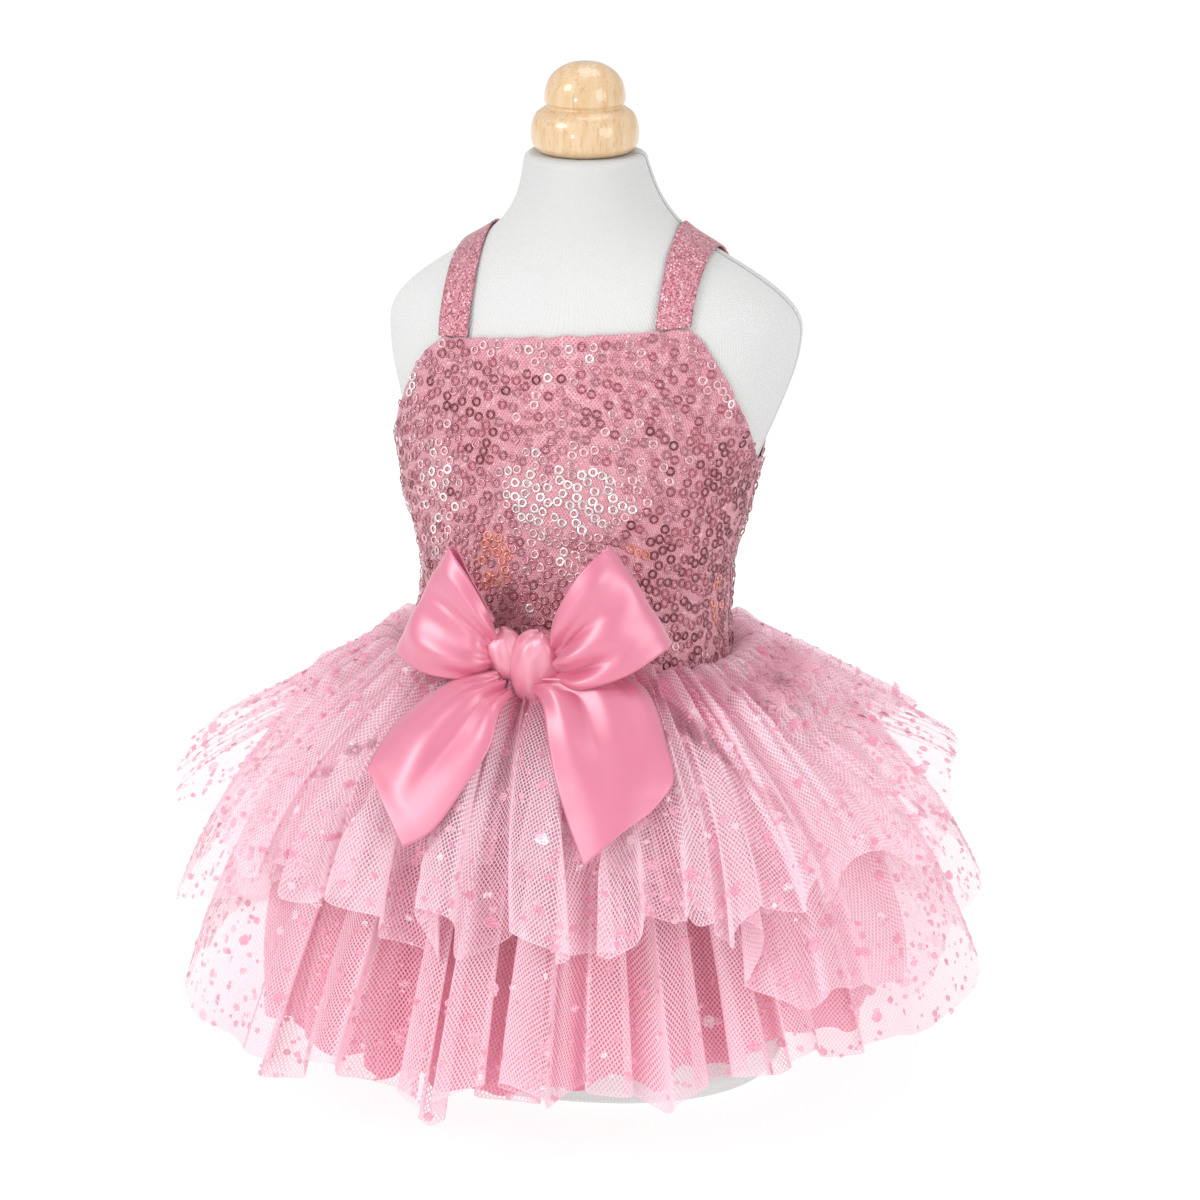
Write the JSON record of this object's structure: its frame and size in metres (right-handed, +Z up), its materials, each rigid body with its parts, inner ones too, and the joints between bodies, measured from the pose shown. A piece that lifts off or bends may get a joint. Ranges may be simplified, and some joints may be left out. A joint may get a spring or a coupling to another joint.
{
  "type": "dog tutu dress on dress form",
  "caption": "Pet party dress with sequinned bodice, satin bow and tiered glitter-tulle skirt, standing on a limbless jersey dress form with a turned wooden knob.",
  "frame": {"origin": "centre of the form's flat underside, which it stands on", "axes": "+Z up, -Y towards the front of the dress, +X towards the dress's left-hand side as it is worn"},
  "size_m": [0.3348, 0.3113, 0.4073],
  "materials": {
    "jersey": "white cotton jersey, matt, fine ribs",
    "wood": "clear-varnished light wood, turned",
    "sequin_mesh": "rose stretch mesh with ring sequins, pink to dark maroon, glittering",
    "lurex": "dusty rose cloth with metallic thread, glittering",
    "lining": "opaque pink satin lining, soft sheen",
    "tulle": "sheer pale pink net with flocked glitter spots",
    "ribbon": "pink satin ribbon, glossy along its folds"
  },
  "bodies": {
    "root": {"form_torso": "jersey", "form_knob": "wood", "bodice_front": "sequin_mesh", "bodice_back": "sequin_mesh", "strap_left": "lurex", "strap_right": "lurex", "skirt_lining": "lining", "tulle_lower": "tulle", "tulle_middle": "tulle", "tulle_upper": "tulle", "bow_loop_left": "ribbon", "bow_loop_right": "ribbon", "bow_tail_left": "ribbon", "bow_tail_right": "ribbon", "bow_knot": "ribbon"}
  },
  "joints": []
}
